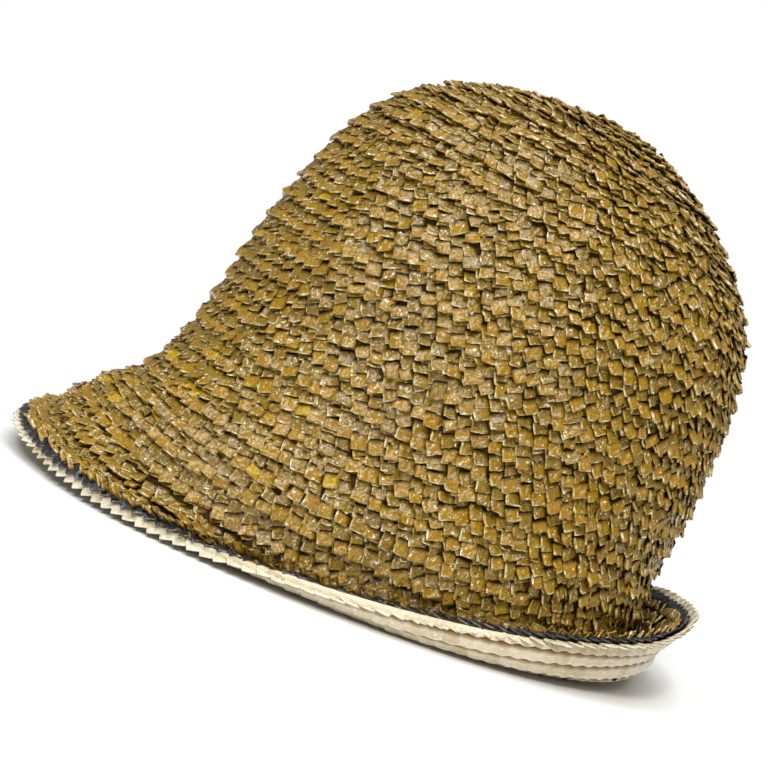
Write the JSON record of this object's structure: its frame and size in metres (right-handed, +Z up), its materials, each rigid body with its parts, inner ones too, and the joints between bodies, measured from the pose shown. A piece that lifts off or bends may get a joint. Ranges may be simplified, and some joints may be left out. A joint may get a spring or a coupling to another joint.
{
  "type": "straw cloche hat",
  "caption": "Deep-crowned straw cloche with a drooping visor, a turned-up back cuff, a dark edge row and a pale facing.",
  "frame": {"origin": "on the ground, under the middle of the hat's length and width", "axes": "+Z up out of the crown, +Y toward the back cuff, +X toward the wearer's left"},
  "size_m": [0.205, 0.262, 0.187],
  "materials": {
    "tan_straw": "glossy lacquered straw plait",
    "black_straw": "satin straw plait",
    "cream_straw": "satin straw plait"
  },
  "bodies": {
    "root": {"crown_and_brim": "tan_straw", "black_edge_row": "black_straw", "cream_facing": "cream_straw"}
  },
  "joints": []
}
